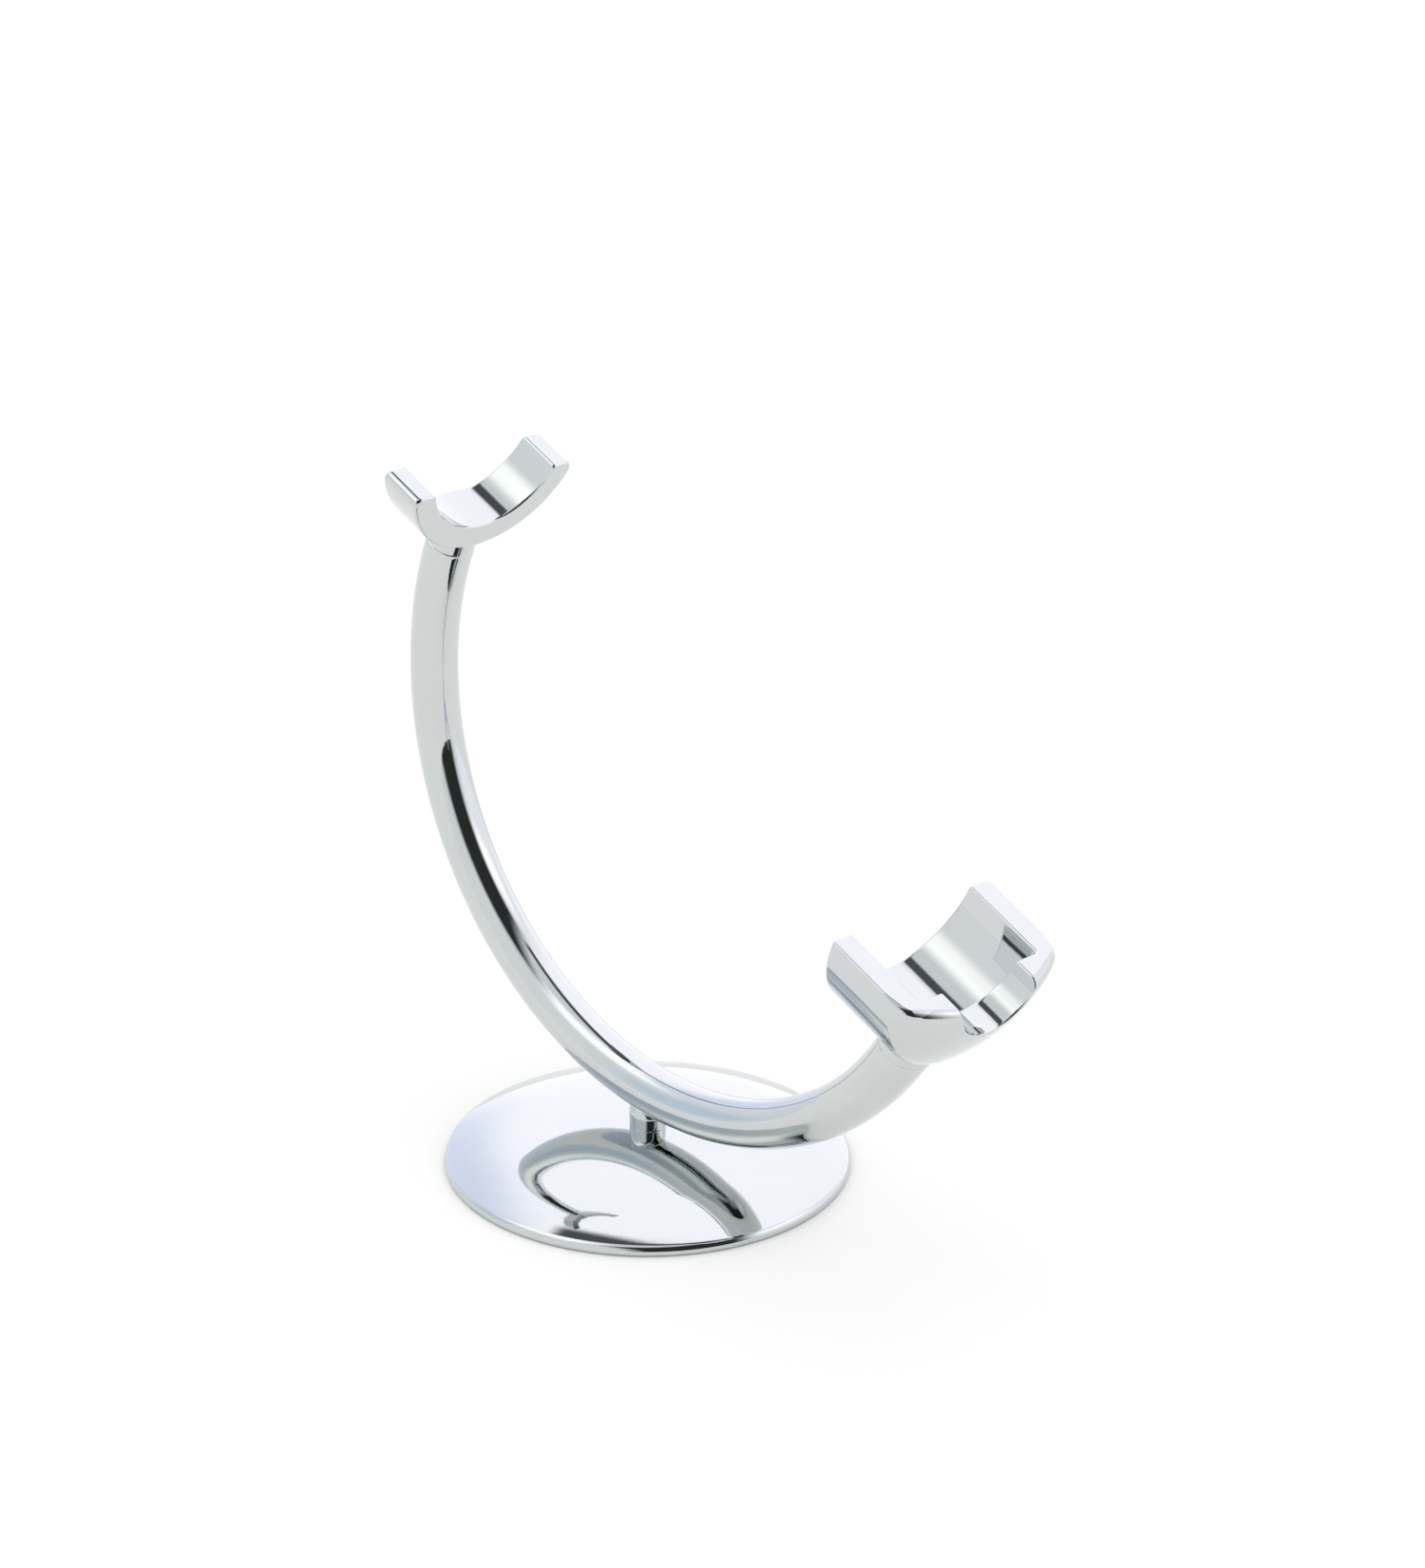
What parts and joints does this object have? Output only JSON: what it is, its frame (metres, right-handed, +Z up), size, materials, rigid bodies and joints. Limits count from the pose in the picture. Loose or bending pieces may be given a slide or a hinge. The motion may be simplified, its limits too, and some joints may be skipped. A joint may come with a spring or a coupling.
{
  "type": "razor stand",
  "caption": "Chrome razor stand: a half-circle bar on a round weighted disc, with a fork that holds the neck and a cup that holds the handle's end.",
  "frame": {"origin": "centre of the underside of the base, on the surface the stand rests on", "axes": "+Z up along the post; the bar lies in the XZ plane with the cup towards +X and the fork towards -X"},
  "size_m": [0.0889, 0.045, 0.0752],
  "materials": {
    "base_chrome": "bright chrome plate, mirror polished",
    "bar_chrome": "bright chrome plate, mirror polished",
    "post_chrome": "bright chrome plate, mirror polished",
    "seat_chrome": "bright chrome plate, mirror polished",
    "screw_steel": "zinc-plated steel",
    "pad_foam": "fine-celled black foam"
  },
  "bodies": {
    "root": {"base_disc": "base_chrome", "base_pad": "pad_foam", "base_screw": "screw_steel", "post": "post_chrome", "arm": "bar_chrome", "top_fork": "seat_chrome", "bottom_cup": "seat_chrome"}
  },
  "joints": []
}
